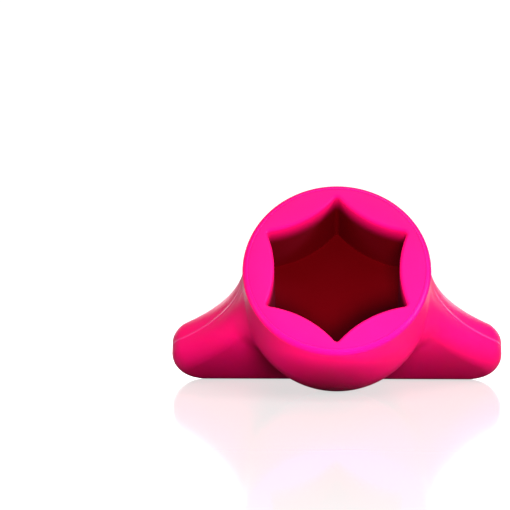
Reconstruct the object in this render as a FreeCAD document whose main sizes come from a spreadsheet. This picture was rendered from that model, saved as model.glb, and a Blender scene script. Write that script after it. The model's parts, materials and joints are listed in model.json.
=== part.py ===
import FreeCAD, Part
import math
import os

import Sketcher

# A hand-turning key: a wide T-bar grip that flares down into a round barrel
# with a blind six-point socket, which drops over a six-lobed knob and turns it.
#
# Every piece is drawn in the key's own frame and then laid down by its Placement:
#   x runs along the T-bar, y through its thickness, z from the socket's mouth up
#   to the top of the T-bar.
# Laid down, the key rests on the barrel's dome and one long edge of the bar, with
# the socket's mouth tipped up. Sizes are in millimetres.

DRIVING_SIZES = [
    # the outer form
    ("bar_length", 100.0, "T-bar from tip to tip"),
    ("bar_thickness", 15.2, "T-bar and wings, front to back"),
    ("bar_edge_round", 6.0, "rounding along every edge of the bar and wings"),
    ("bar_end_round", 10.0, "rounding of the bar's two ends, seen from the front"),
    ("key_height", 65.2, "socket's mouth to the top of the bar"),
    ("dome_lead", 3.8, "the barrel domes over this far short of the socket's floor"),
    ("rim_round", 1.5, "rounding of the barrel's outer rim"),
    ("wing_root_inset", 0.3, "how far inside the barrel the wings' edges start"),
    ("wing_root_height", 4.0, "mouth to the foot of the wings, inside the barrel"),
    # the socket
    ("socket_point_reach", 23.0, "axis to the socket's points"),
    ("socket_lobe_bulge", 2.1, "how far each inward lobe bulges from point to point"),
    ("socket_point_width", 0.9, "width left between two lobes at a point"),
    ("socket_point_round", 0.4, "rounding in the corners of the points"),
    ("socket_depth", 24.0, "depth of the blind socket"),
    ("socket_mouth_round", 1.0, "rounding of the socket's mouth"),
    ("lobe_seat", 0.8, "how deep each lobe is rooted in the cup's wall"),
    # the inner pieces
    ("point_wall", 2.55, "cup's wall behind the socket's points"),
    ("cover_wall", 1.6, "silicone skin over the cup"),
    ("cup_floor", 3.5, "cup floor behind the socket"),
    ("cheek_length", 36.0, "cheeks on the cup's back, along the bar"),
    ("cheeks_width", 9.5, "over both cheeks, front to back"),
    ("cheek_height", 13.0, "cheeks above the cup's back"),
    ("plate_thickness", 3.0, "stiffening plate"),
    ("plate_inset", 4.5, "silicone round the plate's outline"),
    ("peg_diameter", 5.0, "pegs that join the cheeks through the plate"),
    ("peg_spacing", 20.0, "between the two pegs"),
    ("window_diameter", 8.0, "holes that key the silicone through the plate"),
    ("window_spacing", 56.0, "between the two windows"),
    ("window_drop", 13.0, "top of the bar to the windows' centres"),
]

# Values that follow from the sizes above, each a formula of the sheet.
LAYOUT_FORMULAS = [
    ("cup_radius", "=sizes.socket_point_reach + sizes.point_wall"),
    ("barrel_radius", "=cup_radius + sizes.cover_wall"),
    ("barrel_straight", "=sizes.socket_depth - sizes.dome_lead"),
    ("cup_back", "=sizes.socket_depth + sizes.cup_floor"),
    ("cup_back_radius", "=sqrt(cup_radius ^ 2 - (cup_back - barrel_straight) ^ 2)"),
    ("cheek_top", "=cup_back + sizes.cheek_height"),
    ("peg_height", "=cup_back + sizes.cheek_height / 2"),
    ("window_height", "=sizes.key_height - sizes.window_drop"),
    ("end_centre_x", "=sizes.bar_length / 2 - sizes.bar_end_round"),
    ("end_centre_z", "=sizes.key_height - sizes.bar_end_round"),
    # the flare leaves the barrel's side at the mouth and runs into the end's arc
    ("flare_start_x", "=barrel_radius - sizes.wing_root_inset"),
    ("flare_run", "=end_centre_x - flare_start_x"),
    (
        "flare_radius",
        "=(flare_run ^ 2 + end_centre_z ^ 2 - sizes.bar_end_round ^ 2)"
        " / (2 * (sizes.bar_end_round + flare_run))",
    ),
    ("flare_centre_x", "=flare_start_x + flare_radius"),
    # each lobe's arc runs from point to point through the lobe's crown
    (
        "lobe_half_angle",
        "=30 deg - asin(sizes.socket_point_width / 2 / sizes.socket_point_reach)",
    ),
    ("lobe_end_x", "=sizes.socket_point_reach * cos(lobe_half_angle)"),
    ("lobe_end_y", "=sizes.socket_point_reach * sin(lobe_half_angle)"),
    (
        "lobe_radius",
        "=(lobe_end_y ^ 2 + sizes.socket_lobe_bulge ^ 2) / (2 * sizes.socket_lobe_bulge)",
    ),
    ("lobe_centre_x", "=lobe_end_x - sizes.socket_lobe_bulge + lobe_radius"),
    ("lobe_seat_radius", "=sizes.socket_point_reach + sizes.lobe_seat"),
    # the plane that touches the dome and the bar's edge sets how the key lies
    ("edge_centre_y", "=sizes.bar_thickness / 2 - sizes.bar_edge_round"),
    ("edge_centre_z", "=sizes.key_height - sizes.bar_edge_round"),
    ("edge_rise", "=edge_centre_z - barrel_straight"),
    (
        "lean",
        "=asin((barrel_radius - sizes.bar_edge_round)"
        " / sqrt(edge_rise ^ 2 + edge_centre_y ^ 2)) - atan(edge_centre_y / edge_rise)",
    ),
    ("lift", "=barrel_radius + barrel_straight * sin(lean)"),
    # the foremost and rearmost points of the laid key, before it is centred
    (
        "front_reach",
        "=sizes.rim_round * (cos(lean) - 1) - (barrel_radius - sizes.rim_round) * sin(lean)",
    ),
    (
        "rear_reach",
        "=edge_centre_z * cos(lean) + edge_centre_y * sin(lean) + sizes.bar_edge_round",
    ),
    ("shift_back", "=-(front_reach + rear_reach) / 2"),
]

LOBE_COUNT = 6

doc = FreeCAD.newDocument("turning_key")


def fill_sheet(name, rows):
    """A sheet with one named value a row, and a note beside it where there is one."""
    sheet = doc.addObject("Spreadsheet::Sheet", name)
    for row_number, (alias, value, *note) in enumerate(rows, start=1):
        sheet.set("A%d" % row_number, alias)
        sheet.set("B%d" % row_number, str(value))
        sheet.setAlias("B%d" % row_number, alias)
        sheet.set("C%d" % row_number, " ".join(note))
    doc.recompute()
    return sheet


sizes = fill_sheet("sizes", DRIVING_SIZES)
layout = fill_sheet("layout", LAYOUT_FORMULAS)


def worth(formula):
    """The number that a formula of the sheets comes to now."""
    result = layout.evalExpression(formula)
    return float(getattr(result, "Value", result))


# ---- sketches ---------------------------------------------------------------------

ORIGIN = (-1, 1)
START, END, CENTRE = 1, 2, 3
FLAT_AXIS, UPRIGHT_AXIS = -1, -2


def new_sketch(body, name, role):
    """An empty sketch on one of the body's own origin planes."""
    sketch = body.newObject("Sketcher::SketchObject", name)
    plane = next(item for item in body.Origin.OriginFeatures if item.Role == role)
    sketch.AttachmentSupport = [(plane, "")]
    sketch.MapMode = "FlatFace"
    return sketch


def spot(x, y):
    return FreeCAD.Vector(x, y, 0)


def mirrored(place):
    return spot(-place.x, place.y)


def arc(centre, start, end):
    """The arc about centre that runs anticlockwise from start to end."""
    first = start.sub(centre)
    last = end.sub(centre)
    circle = Part.Circle(centre, FreeCAD.Vector(0, 0, 1), first.Length)
    start_angle = math.atan2(first.y, first.x)
    end_angle = math.atan2(last.y, last.x)
    if end_angle < start_angle:
        end_angle += 2 * math.pi
    return Part.ArcOfCircle(circle, start_angle, end_angle)


def bind(sketch, kind, places, name, formula):
    """Add a named dimension and tie it to the sheets."""
    index = sketch.addConstraint(Sketcher.Constraint(kind, *places, worth(formula)))
    sketch.renameConstraint(index, name)
    sketch.setExpression("Constraints." + name, formula)


def rule(sketch, kind, *places):
    sketch.addConstraint(Sketcher.Constraint(kind, *places))


def draw_wing_outline(sketch, inset_formula, foot_formula):
    """The bar and its flaring wings from the front, drawn this far inside the edge."""
    inset = worth(inset_formula)
    foot = worth(foot_formula)
    end_radius = worth("sizes.bar_end_round") - inset
    flare_radius = worth("layout.flare_radius") + inset
    end_centre = spot(worth("layout.end_centre_x"), worth("layout.end_centre_z"))
    flare_centre = spot(worth("layout.flare_centre_x"), 0)
    across = flare_centre.sub(end_centre)
    meeting = end_centre + across * (end_radius / across.Length)
    crown = end_centre + spot(0, end_radius)
    heel = spot(flare_centre.x - math.sqrt(flare_radius**2 - foot**2), foot)

    bottom = sketch.addGeometry(Part.LineSegment(mirrored(heel), heel))
    flare = sketch.addGeometry(arc(flare_centre, meeting, heel))
    end = sketch.addGeometry(arc(end_centre, meeting, crown))
    top = sketch.addGeometry(Part.LineSegment(crown, mirrored(crown)))
    far_end = sketch.addGeometry(
        arc(mirrored(end_centre), mirrored(crown), mirrored(meeting))
    )
    far_flare = sketch.addGeometry(
        arc(mirrored(flare_centre), mirrored(heel), mirrored(meeting))
    )

    rule(sketch, "Coincident", bottom, END, flare, END)
    rule(sketch, "Tangent", flare, START, end, START)
    rule(sketch, "Tangent", end, END, top, START)
    rule(sketch, "Tangent", top, END, far_end, START)
    rule(sketch, "Tangent", far_end, END, far_flare, END)
    rule(sketch, "Coincident", far_flare, START, bottom, START)
    rule(sketch, "Horizontal", top)
    rule(sketch, "Horizontal", bottom)
    rule(sketch, "Symmetric", end, CENTRE, far_end, CENTRE, UPRIGHT_AXIS)
    rule(sketch, "Symmetric", flare, CENTRE, far_flare, CENTRE, UPRIGHT_AXIS)
    rule(sketch, "PointOnObject", flare, CENTRE, FLAT_AXIS)
    bind(sketch, "DistanceX", (*ORIGIN, flare, CENTRE), "flare_out", "layout.flare_centre_x")
    bind(sketch, "DistanceX", (*ORIGIN, end, CENTRE), "end_out", "layout.end_centre_x")
    bind(sketch, "DistanceY", (*ORIGIN, end, CENTRE), "end_up", "layout.end_centre_z")
    bind(sketch, "Radius", (end,), "end_radius", "sizes.bar_end_round - " + inset_formula)
    bind(sketch, "DistanceY", (*ORIGIN, bottom, END), "foot_up", foot_formula)


def draw_hole_pair(sketch, name, height_formula):
    """Two equal round holes, pegs or windows, either side of the axis."""
    spacing = "sizes.%s_spacing / 2" % name
    diameter = "sizes.%s_diameter" % name
    centre = spot(worth(spacing), worth(height_formula))
    normal = FreeCAD.Vector(0, 0, 1)
    near = sketch.addGeometry(Part.Circle(centre, normal, worth(diameter) / 2))
    far = sketch.addGeometry(Part.Circle(mirrored(centre), normal, worth(diameter) / 2))
    rule(sketch, "Equal", near, far)
    rule(sketch, "Symmetric", near, CENTRE, far, CENTRE, UPRIGHT_AXIS)
    bind(sketch, "Diameter", (near,), name + "_diameter", diameter)
    bind(sketch, "DistanceX", (*ORIGIN, near, CENTRE), name + "_out", spacing)
    bind(sketch, "DistanceY", (*ORIGIN, near, CENTRE), name + "_up", height_formula)


def draw_block(sketch, half_formula, low_formula, high_formula):
    """An upright rectangle, centred on the axis."""
    half, low, high = worth(half_formula), worth(low_formula), worth(high_formula)
    corners = [spot(-half, low), spot(half, low), spot(half, high), spot(-half, high)]
    sides = [
        sketch.addGeometry(Part.LineSegment(corners[turn - 1], corners[turn]))
        for turn in range(len(corners))
    ]
    for turn, side in enumerate(sides):
        rule(sketch, "Coincident", sides[turn - 1], END, side, START)
    left, bottom, right, top = sides
    rule(sketch, "Vertical", left)
    rule(sketch, "Vertical", right)
    rule(sketch, "Horizontal", top)
    rule(sketch, "Symmetric", bottom, START, bottom, END, UPRIGHT_AXIS)
    bind(sketch, "DistanceX", (*ORIGIN, bottom, END), "half_length", half_formula)
    bind(sketch, "DistanceY", (*ORIGIN, bottom, END), "block_low", low_formula)
    bind(sketch, "DistanceY", (*ORIGIN, top, START), "block_high", high_formula)


def draw_cup_profile(sketch):
    """Half of the cup's section: a straight side that domes over to a flat back."""
    radius, back = worth("layout.cup_radius"), worth("layout.cup_back")
    shoulder = spot(radius, worth("layout.barrel_straight"))
    back_edge = spot(worth("layout.cup_back_radius"), back)
    dome_centre = spot(0, shoulder.y)

    mouth = sketch.addGeometry(Part.LineSegment(spot(0, 0), spot(radius, 0)))
    side = sketch.addGeometry(Part.LineSegment(spot(radius, 0), shoulder))
    dome = sketch.addGeometry(arc(dome_centre, shoulder, back_edge))
    flat = sketch.addGeometry(Part.LineSegment(back_edge, spot(0, back)))
    axis = sketch.addGeometry(Part.LineSegment(spot(0, back), spot(0, 0)))

    rule(sketch, "Coincident", mouth, START, *ORIGIN)
    rule(sketch, "Coincident", mouth, END, side, START)
    rule(sketch, "Tangent", side, END, dome, START)
    rule(sketch, "Coincident", dome, END, flat, START)
    rule(sketch, "Coincident", flat, END, axis, START)
    rule(sketch, "Coincident", axis, END, mouth, START)
    rule(sketch, "Horizontal", mouth)
    rule(sketch, "Vertical", side)
    rule(sketch, "Horizontal", flat)
    rule(sketch, "Vertical", axis)
    bind(sketch, "DistanceX", (mouth, START, mouth, END), "radius", "layout.cup_radius")
    bind(sketch, "DistanceY", (side, START, side, END), "straight", "layout.barrel_straight")
    bind(sketch, "Radius", (dome,), "dome_radius", "layout.cup_radius")
    bind(sketch, "DistanceY", (axis, END, axis, START), "back", "layout.cup_back")


def draw_barrel_profile(sketch):
    """Half of the barrel's section: rounded rim, straight side and round dome."""
    radius = worth("layout.barrel_radius")
    rim = worth("sizes.rim_round")
    straight = worth("layout.barrel_straight")
    rim_centre = spot(radius - rim, rim)
    rim_foot = spot(radius - rim, 0)
    rim_side = spot(radius, rim)
    shoulder = spot(radius, straight)
    crown = spot(0, straight + radius)

    mouth = sketch.addGeometry(Part.LineSegment(spot(0, 0), rim_foot))
    lip = sketch.addGeometry(arc(rim_centre, rim_foot, rim_side))
    side = sketch.addGeometry(Part.LineSegment(rim_side, shoulder))
    dome = sketch.addGeometry(arc(spot(0, straight), shoulder, crown))
    axis = sketch.addGeometry(Part.LineSegment(crown, spot(0, 0)))

    rule(sketch, "Coincident", mouth, START, *ORIGIN)
    rule(sketch, "Tangent", mouth, END, lip, START)
    rule(sketch, "Tangent", lip, END, side, START)
    rule(sketch, "Tangent", side, END, dome, START)
    rule(sketch, "Coincident", dome, END, axis, START)
    rule(sketch, "Coincident", axis, END, mouth, START)
    rule(sketch, "Horizontal", mouth)
    rule(sketch, "Vertical", side)
    rule(sketch, "Vertical", axis)
    bind(sketch, "Radius", (lip,), "rim_radius", "sizes.rim_round")
    bind(sketch, "DistanceX", (*ORIGIN, side, START), "radius", "layout.barrel_radius")
    bind(sketch, "DistanceY", (*ORIGIN, side, END), "straight", "layout.barrel_straight")
    bind(sketch, "Radius", (dome,), "dome_radius", "layout.barrel_radius")


def draw_lobe(sketch):
    """One inward lobe of the socket, rooted in the cup's wall."""
    half_angle = math.radians(worth("layout.lobe_half_angle"))
    seat = worth("layout.lobe_seat_radius")
    upper = spot(worth("layout.lobe_end_x"), worth("layout.lobe_end_y"))
    lower = spot(upper.x, -upper.y)
    upper_seat = spot(seat * math.cos(half_angle), seat * math.sin(half_angle))
    lower_seat = spot(upper_seat.x, -upper_seat.y)
    lobe_centre = spot(worth("layout.lobe_centre_x"), 0)

    crown = sketch.addGeometry(arc(lobe_centre, upper, lower))
    lower_side = sketch.addGeometry(Part.LineSegment(lower, lower_seat))
    root = sketch.addGeometry(arc(spot(0, 0), lower_seat, upper_seat))
    upper_side = sketch.addGeometry(Part.LineSegment(upper_seat, upper))

    rule(sketch, "Coincident", crown, END, lower_side, START)
    rule(sketch, "Coincident", lower_side, END, root, START)
    rule(sketch, "Coincident", root, END, upper_side, START)
    rule(sketch, "Coincident", upper_side, END, crown, START)
    rule(sketch, "Coincident", root, CENTRE, *ORIGIN)
    rule(sketch, "PointOnObject", crown, CENTRE, FLAT_AXIS)
    rule(sketch, "Symmetric", root, START, root, END, FLAT_AXIS)
    rule(sketch, "PointOnObject", *ORIGIN, upper_side)
    bind(sketch, "DistanceX", (*ORIGIN, crown, CENTRE), "centre_out", "layout.lobe_centre_x")
    bind(sketch, "Radius", (crown,), "crown_radius", "layout.lobe_radius")
    bind(sketch, "Radius", (root,), "root_radius", "layout.lobe_seat_radius")
    bind(sketch, "DistanceX", (*ORIGIN, crown, START), "end_out", "layout.lobe_end_x")
    bind(sketch, "DistanceX", (*ORIGIN, crown, END), "far_end_out", "layout.lobe_end_x")


# ---- features ---------------------------------------------------------------------


def new_body(label):
    body = doc.addObject("PartDesign::Body", label)
    body.Label = label
    return body


def through_thickness(body, kind, name, sketch, width_formula):
    """Pad or Pocket a front-view sketch by half its width either way."""
    feature = body.newObject("PartDesign::" + kind, name)
    feature.Profile = sketch
    feature.SideType = "Symmetric"
    feature.setExpression("Length", width_formula)
    return feature


def from_mouth(body, kind, name, sketch, depth_formula):
    """Pad or Pocket a plan-view sketch from the mouth into the barrel."""
    feature = body.newObject("PartDesign::" + kind, name)
    feature.Profile = sketch
    feature.Reversed = kind == "Pocket"
    feature.setExpression("Length", depth_formula)
    return feature


def about_axis(body, kind, name, sketch):
    """A Revolution or Groove of a half section, once round the barrel's axis."""
    feature = body.newObject("PartDesign::" + kind, name)
    feature.Profile = sketch
    feature.ReferenceAxis = (sketch, ["V_Axis"])
    feature.Angle = 360
    return feature


def round_edges(body, name, feature, wanted, radius_formula):
    """A Fillet along every edge of the feature that the test picks out."""
    doc.recompute()
    edges = [
        "Edge%d" % number
        for number, edge in enumerate(feature.Shape.Edges, start=1)
        if wanted(edge)
    ]
    fillet = body.newObject("PartDesign::Fillet", name)
    fillet.Base = (feature, edges)
    fillet.setExpression("Radius", radius_formula)
    return fillet


CLOSE = 1e-4


def make_grip_cover():
    """Soft silicone skin: T-bar, wings, dome and barrel side, moulded in one."""
    body = new_body("grip_cover")
    outline = new_sketch(body, "cover_outline", "XZ_Plane")
    draw_wing_outline(outline, "0", "sizes.wing_root_height")
    wings = through_thickness(body, "Pad", "cover_wings", outline, "sizes.bar_thickness")

    face = worth("sizes.bar_thickness") / 2
    foot = worth("sizes.wing_root_height")

    def on_front_or_back(edge):
        box = edge.BoundBox
        flat = box.YLength < CLOSE and abs(abs(box.YMin) - face) < CLOSE
        return flat and box.ZMax > foot + CLOSE

    round_edges(body, "wing_edges", wings, on_front_or_back, "sizes.bar_edge_round")

    barrel = new_sketch(body, "barrel_profile", "XZ_Plane")
    draw_barrel_profile(barrel)
    about_axis(body, "Revolution", "barrel_and_dome", barrel)

    cup_room = new_sketch(body, "cup_room_profile", "XZ_Plane")
    draw_cup_profile(cup_room)
    about_axis(body, "Groove", "cup_room", cup_room)

    cheek_room = new_sketch(body, "cheek_room_block", "XZ_Plane")
    draw_block(cheek_room, "sizes.cheek_length / 2", "layout.cup_back", "layout.cheek_top")
    through_thickness(body, "Pocket", "cheek_room", cheek_room, "sizes.cheeks_width")

    plate_room = new_sketch(body, "plate_room_outline", "XZ_Plane")
    draw_wing_outline(plate_room, "sizes.plate_inset", "layout.cup_back")
    draw_hole_pair(plate_room, "window", "layout.window_height")
    through_thickness(body, "Pocket", "plate_room", plate_room, "sizes.plate_thickness")
    return body


def make_socket_cup():
    """Rigid cup: the six-point socket, its end face and two cheeks on its back."""
    body = new_body("socket_cup")
    blank = new_sketch(body, "cup_profile", "XZ_Plane")
    draw_cup_profile(blank)
    about_axis(body, "Revolution", "cup_blank", blank)

    cheeks = new_sketch(body, "cheek_block", "XZ_Plane")
    draw_block(cheeks, "sizes.cheek_length / 2", "layout.cup_back", "layout.cheek_top")
    through_thickness(body, "Pad", "cheek_blank", cheeks, "sizes.cheeks_width")

    slot = new_sketch(body, "plate_slot_block", "XZ_Plane")
    draw_block(slot, "sizes.cheek_length / 2", "layout.cup_back", "layout.cheek_top")
    draw_hole_pair(slot, "peg", "layout.peg_height")
    through_thickness(body, "Pocket", "plate_slot", slot, "sizes.plate_thickness")

    bore = new_sketch(body, "bore_circle", "XY_Plane")
    normal = FreeCAD.Vector(0, 0, 1)
    circle = bore.addGeometry(
        Part.Circle(spot(0, 0), normal, worth("sizes.socket_point_reach"))
    )
    rule(bore, "Coincident", circle, CENTRE, *ORIGIN)
    bind(bore, "Radius", (circle,), "point_reach", "sizes.socket_point_reach")
    from_mouth(body, "Pocket", "socket_bore", bore, "sizes.socket_depth")

    lobe_outline = new_sketch(body, "lobe_outline", "XY_Plane")
    draw_lobe(lobe_outline)
    lobe = from_mouth(body, "Pad", "lobe", lobe_outline, "sizes.socket_depth")
    lobes = body.newObject("PartDesign::PolarPattern", "lobes")
    lobes.Originals = [lobe]
    lobes.Axis = (lobe_outline, ["N_Axis"])
    lobes.Angle = 360
    lobes.Occurrences = LOBE_COUNT
    body.Tip = lobes

    reach = worth("sizes.socket_point_reach")
    depth = worth("sizes.socket_depth")

    def in_point_corner(edge):
        middle = edge.CenterOfMass
        upright = abs(edge.BoundBox.ZLength - depth) < CLOSE
        return upright and abs(math.hypot(middle.x, middle.y) - reach) < CLOSE

    rounded = round_edges(
        body, "point_corners", lobes, in_point_corner, "sizes.socket_point_round"
    )

    inside = worth("layout.cup_radius") - CLOSE

    def round_mouth(edge):
        box = edge.BoundBox
        return box.ZMax < CLOSE and max(box.XMax, box.YMax, -box.XMin, -box.YMin) < inside

    round_edges(body, "mouth_edge", rounded, round_mouth, "sizes.socket_mouth_round")
    return body


def make_stiffening_plate():
    """Flat T-shaped plate that carries the turning force from the bar to the cup."""
    body = new_body("stiffening_plate")
    outline = new_sketch(body, "plate_outline", "XZ_Plane")
    draw_wing_outline(outline, "sizes.plate_inset", "layout.cup_back")
    draw_hole_pair(outline, "window", "layout.window_height")
    draw_hole_pair(outline, "peg", "layout.peg_height")
    through_thickness(body, "Pad", "plate", outline, "sizes.plate_thickness")
    return body


def lay_down(body):
    """Lay the upright piece on the dome and the bar's edge, centred on the origin."""
    body.Placement = FreeCAD.Placement(
        FreeCAD.Vector(0, worth("layout.shift_back"), worth("layout.lift")),
        FreeCAD.Rotation(FreeCAD.Vector(-1, 0, 0), 90 + worth("layout.lean")),
    )
    body.setExpression("Placement.Rotation.Angle", "90 deg + layout.lean")
    body.setExpression("Placement.Base.y", "layout.shift_back")
    body.setExpression("Placement.Base.z", "layout.lift")


bodies = [make_grip_cover(), make_socket_cup(), make_stiffening_plate()]
for body in bodies:
    lay_down(body)
doc.recompute()

# ---- checks and export ------------------------------------------------------------

for item in doc.Objects:
    if {"Invalid", "Error"} & set(item.State):
        raise RuntimeError("%s did not compute: %s" % (item.Name, item.State))
    if item.TypeId in ("PartDesign::Pocket", "PartDesign::Groove"):
        if item.Shape.Volume >= item.BaseFeature.Shape.Volume:
            raise RuntimeError("%s cuts nothing" % item.Name)

for body in bodies:
    if body.Shape.isNull() or not body.Shape.isValid():
        raise RuntimeError("%s has no valid shape" % body.Label)

os.makedirs("parts", exist_ok=True)
for body in bodies:
    body.Shape.exportStep("parts/%s.step" % body.Label)
    box = body.Shape.BoundBox
    print(
        "%-18s solids %d  volume %8.0f  x %.2f..%.2f  y %.2f..%.2f  z %.2f..%.2f"
        % (body.Label, len(body.Shape.Solids), body.Shape.Volume,
           box.XMin, box.XMax, box.YMin, box.YMax, box.ZMin, box.ZMax)
    )
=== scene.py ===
import json
import math

import bmesh
import bpy
import numpy as np
from bpy.props import FloatProperty, FloatVectorProperty, IntProperty, PointerProperty
from mathutils import Matrix, Vector


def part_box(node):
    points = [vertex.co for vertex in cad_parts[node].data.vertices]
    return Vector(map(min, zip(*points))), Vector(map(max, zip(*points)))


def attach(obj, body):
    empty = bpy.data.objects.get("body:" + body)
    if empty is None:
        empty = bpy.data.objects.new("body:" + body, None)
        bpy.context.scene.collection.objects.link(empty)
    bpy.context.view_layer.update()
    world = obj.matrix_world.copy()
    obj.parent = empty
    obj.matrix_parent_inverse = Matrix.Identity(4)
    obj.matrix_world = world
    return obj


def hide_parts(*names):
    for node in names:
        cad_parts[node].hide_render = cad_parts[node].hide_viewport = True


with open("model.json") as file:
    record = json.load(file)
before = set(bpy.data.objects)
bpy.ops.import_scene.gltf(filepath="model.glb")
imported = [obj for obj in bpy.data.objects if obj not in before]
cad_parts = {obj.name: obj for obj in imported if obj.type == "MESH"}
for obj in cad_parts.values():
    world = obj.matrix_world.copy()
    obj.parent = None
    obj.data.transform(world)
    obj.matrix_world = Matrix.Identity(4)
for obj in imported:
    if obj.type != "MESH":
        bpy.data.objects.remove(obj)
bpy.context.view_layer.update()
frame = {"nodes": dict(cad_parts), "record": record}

bl_info = {
    "name": "Hand Turning Key",
    "version": (1, 0, 0),
    "blender": (4, 5, 0),
    "location": "3D View > Sidebar > Turning Key",
    "description": "Builds a soft T-bar hand key with a six-point socket",
    "category": "Add Mesh",
}

# The key is modelled standing up, mouth down, and then laid as the frame has it:
#   x along the T-bar, y through its thickness, z from the mouth up to the bar's top.
# Sizes are in metres.

CUP_LOW, CUP_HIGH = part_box("socket_cup")
SKIN_LOW, SKIN_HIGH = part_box("grip_cover")
MOUNTS = {mount["name"]: mount for mount in frame["record"]["mounts"]}
MOUTH_CENTRE = Vector(MOUNTS["socket"]["pos_m"])
MOUTH_NORMAL = Vector(MOUNTS["socket"]["axis"]).normalized()
CUP_RADIUS = (CUP_HIGH.x - CUP_LOW.x) / 2
BAR_LENGTH = SKIN_HIGH.x - SKIN_LOW.x
BODY = "root"
SOCKET_SIDES = 6
POINT_ANGLE = math.pi / SOCKET_SIDES
WHOLE_TURN = 2 * math.pi
EVENING_PASSES = 6
EVENING_SHARE = 0.6
GENTLEST_SLOPE = 0.05
SILICONE_IOR = 1.43
SKIN_GLOW_RADIUS = (1.0, 0.12, 0.35)
SKIN_GLOW_DEPTH = 0.0012

# Soft lights: name, place, size, watts, and whether the key mirrors them.
KEY_MIDDLE = (0, 0, 0.03)
SOFTBOXES = (
    ("overhead_softbox", (0.20, -0.25, 1.1), (1.1, 0.8), 8, True),
    ("front_softbox", (0.03, -0.38, 0.38), (0.22, 0.10), 0.18, True),
    ("right_strip", (0.8, -0.45, 0.30), (0.10, 0.5), 8, True),
    ("left_strip", (-0.8, -0.55, 0.30), (0.10, 0.5), 3, True),
    ("back_strip", (0, 0.9, 0.16), (1.3, 0.2), 1.8, True),
    ("back_softbox", (-0.2, 0.8, 0.75), (0.7, 0.4), 3, False),
)


def lying_matrix():
    """Carries the upright key to where the frame has it."""
    along = Vector((1, 0, 0))
    axis = -MOUTH_NORMAL
    through = axis.cross(along)
    turn = Matrix((along, through, axis)).transposed().to_4x4()
    return Matrix.Translation(MOUTH_CENTRE) @ turn


# ---- settings ---------------------------------------------------------------------


def length(name, default, description):
    return FloatProperty(name=name, description=description, default=default, unit="LENGTH")


def colour(name, default, description):
    return FloatVectorProperty(
        name=name, description=description, default=default,
        size=3, min=0.0, max=1.0, subtype="COLOR",
    )


def share(name, default, description):
    return FloatProperty(
        name=name, description=description, default=default,
        min=0.0, max=1.0, subtype="FACTOR",
    )


class KeyShape(bpy.types.PropertyGroup):
    """The key's outer form."""

    bar_length: length("Bar length", BAR_LENGTH, "T-bar from tip to tip")
    bar_thickness: length("Bar thickness", 0.0152, "T-bar and wings, front to back")
    bar_edge_round: length("Bar edge round", 0.006, "Rounding along the bar's edges")
    bar_end_round: length("Bar end round", 0.010, "Rounding of the bar's two ends")
    key_height: length("Key height", 0.0652, "Mouth to the top of the bar")
    barrel_radius: length("Barrel radius", CUP_RADIUS + 0.0016, "Outside of the barrel")
    barrel_straight: length("Barrel straight", 0.0202, "Mouth to where the dome starts")
    rim_round: length("Rim round", 0.0015, "Rounding of the barrel's rim")
    wing_root_inset: length("Wing root inset", 0.0003, "Wing edges' start, inside the barrel")
    blend_round: length("Blend round", 0.0055, "Soft corner between dome and wings")
    blend_start: length("Blend start", 0.006, "Height where the soft corner begins")
    blend_full: length("Blend full", 0.034, "Height where the soft corner is full")
    seam_round: length("Seam round", 0.00014, "Rounding of both lips of the seam")
    mesh_step: length("Mesh step", 0.0006, "Spacing of the skin's mesh")


class SocketShape(bpy.types.PropertyGroup):
    """The six-point socket and the cup that holds it."""

    point_reach: length("Point reach", 0.0230, "Axis to the socket's points")
    lobe_bulge: length("Lobe bulge", 0.0021, "How far each lobe bulges inwards")
    point_width: length("Point width", 0.0009, "Width left between two lobes")
    point_round: length("Point round", 0.0005, "Softness of the points' corners")
    depth: length("Depth", 0.024, "Depth of the blind socket")
    mouth_round: length("Mouth round", 0.0010, "Rounding of the socket's mouth")
    floor_round: length("Floor round", 0.0003, "Rounding round the socket's floor")
    floor_thickness: length("Floor thickness", 0.0035, "Cup floor behind the socket")
    cheek_length: length("Cheek length", 0.036, "Cheeks on the cup's back")
    cheeks_width: length("Cheeks width", 0.0095, "Over both cheeks")
    cheek_height: length("Cheek height", 0.013, "Cheeks above the cup's back")
    slot_width: length("Slot width", 0.003, "Room for the plate between the cheeks")
    peg_diameter: length("Peg diameter", 0.005, "Pegs through the plate")
    peg_spacing: length("Peg spacing", 0.020, "Between the two pegs")
    steps_per_side: IntProperty(
        name="Steps per side", description="Mesh steps round each side", default=72, min=8
    )


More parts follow.
